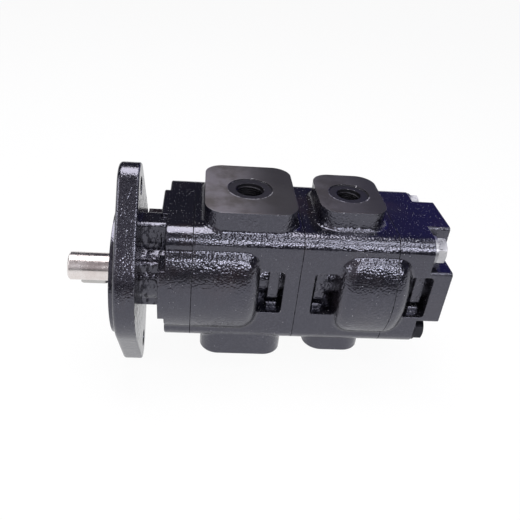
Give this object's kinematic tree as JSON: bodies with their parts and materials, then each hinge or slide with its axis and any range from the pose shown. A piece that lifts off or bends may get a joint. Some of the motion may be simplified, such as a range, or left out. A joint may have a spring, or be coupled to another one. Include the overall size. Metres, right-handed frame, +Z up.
{
  "type": "hydraulic gear pump",
  "caption": "Tandem gear pump with an oval mounting flange, keyed drive shaft, bulged black cast iron housings with side windows, and raised port pads above and below.",
  "frame": {"origin": "centre of the pilot spigot, in the front face of the mounting flange, on the drive shaft's axis", "axes": "+X along the drive shaft from its keyed end to the rear cover, +Z up towards the pressure ports, +Y towards the driven gears"},
  "size_m": [0.297, 0.1398, 0.1806],
  "materials": {
    "housing_iron": "gloss black paint on sand-cast iron, with the port pads' faces machined bare",
    "shaft_steel": "ground",
    "gear_steel": "ground",
    "key_steel": "drawn",
    "coupling_steel": "hardened",
    "ring_steel": "oiled black",
    "bolt_zinc": "zinc plated",
    "washer_zinc": "zinc plated",
    "dowel_steel": "ground",
    "bush_bronze": "turned bronze",
    "plate_bronze": "ground bronze",
    "joint_rubber": "matte",
    "shaft_seal_rubber": "matte"
  },
  "bodies": {
    "housing": {"front_cover": "housing_iron", "front_housing": "housing_iron", "rear_housing": "housing_iron", "rear_cover": "housing_iron", "front_cover_drive_bush": "bush_bronze", "front_cover_driven_bush": "bush_bronze", "front_housing_drive_bush": "bush_bronze", "front_housing_driven_bush": "bush_bronze", "rear_housing_drive_bush": "bush_bronze", "rear_housing_driven_bush": "bush_bronze", "rear_cover_drive_bush": "bush_bronze", "rear_cover_driven_bush": "bush_bronze", "front_section_front_plate": "plate_bronze", "front_section_rear_plate": "plate_bronze", "rear_section_front_plate": "plate_bronze", "rear_section_rear_plate": "plate_bronze", "front_joint_seal": "joint_rubber", "middle_joint_seal": "joint_rubber", "rear_joint_seal": "joint_rubber", "shaft_seal": "shaft_seal_rubber", "seal_retaining_ring": "ring_steel", "through_bolts": "bolt_zinc", "bolt_washers": "washer_zinc", "dowel_pins": "dowel_steel"},
    "drive_train": {"front_drive_gear": "shaft_steel", "drive_key": "key_steel", "spline_coupling": "coupling_steel", "rear_drive_gear": "gear_steel"},
    "front_driven_train": {"front_driven_gear": "gear_steel"},
    "rear_driven_train": {"rear_driven_gear": "gear_steel"}
  },
  "joints": [
    {"name": "drive_spin", "type": "hinge", "parent": "housing", "child": "drive_train", "pos_m": [0, 0, 0], "axis": [1, 0, 0], "continuous": true},
    {"name": "front_driven_spin", "type": "hinge", "parent": "housing", "child": "front_driven_train", "pos_m": [0, 0.042, 0], "axis": [1, 0, 0], "continuous": true},
    {"name": "rear_driven_spin", "type": "hinge", "parent": "housing", "child": "rear_driven_train", "pos_m": [0, 0.042, 0], "axis": [1, 0, 0], "continuous": true}
  ],
  "couplings": [
    {"joint": "front_driven_spin", "follows": "drive_spin", "ratio": -1},
    {"joint": "rear_driven_spin", "follows": "drive_spin", "ratio": -1}
  ]
}
